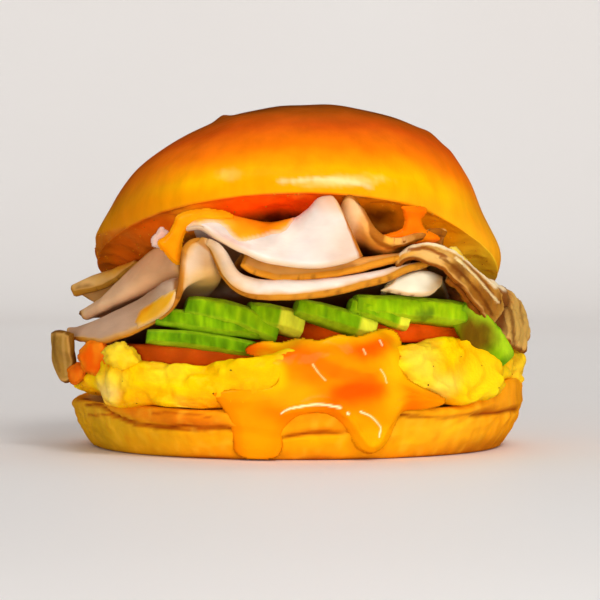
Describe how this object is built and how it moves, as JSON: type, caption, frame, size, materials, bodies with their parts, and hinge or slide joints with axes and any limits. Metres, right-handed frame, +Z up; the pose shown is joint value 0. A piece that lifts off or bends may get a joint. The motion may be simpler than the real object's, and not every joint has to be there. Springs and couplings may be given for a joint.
{
  "type": "breakfast sandwich",
  "caption": "Bun tipped open at the front over soft scrambled egg, tomato, sliced avocado and folded turkey, with orange sauce running down; rests on its flat base.",
  "frame": {"origin": "middle of the bounding box at the bottom bun's flat base", "axes": "+Z up, the open front faces -Y, +X to the right seen from the front"},
  "size_m": [0.1162, 0.113, 0.0829],
  "materials": {
    "bun_crust": "glossy baked crust",
    "scrambled_egg": "moist soft curds",
    "tomato": "wet cut flesh",
    "avocado": "moist cut flesh",
    "turkey": "moist sliced meat with a browned rim",
    "orange_sauce": "glossy wet sauce"
  },
  "bodies": {
    "root": {"bun_bottom": "bun_crust", "bun_top": "bun_crust", "egg": "scrambled_egg", "tomato_slice_1": "tomato", "tomato_slice_2": "tomato", "avocado_slice_1": "avocado", "avocado_slice_2": "avocado", "avocado_slice_3": "avocado", "avocado_slice_4": "avocado", "avocado_slice_5": "avocado", "avocado_slice_6": "avocado", "avocado_slice_7": "avocado", "avocado_slice_8": "avocado", "avocado_slice_9": "avocado", "avocado_slice_10": "avocado", "avocado_slice_11": "avocado", "turkey_slice_1": "turkey", "turkey_slice_2": "turkey", "turkey_slice_3": "turkey", "turkey_slice_4": "turkey", "turkey_slice_5": "turkey", "turkey_slice_6": "turkey", "turkey_slice_7": "turkey", "turkey_slice_8": "turkey", "turkey_slice_9": "turkey", "sauce": "orange_sauce"}
  },
  "joints": []
}
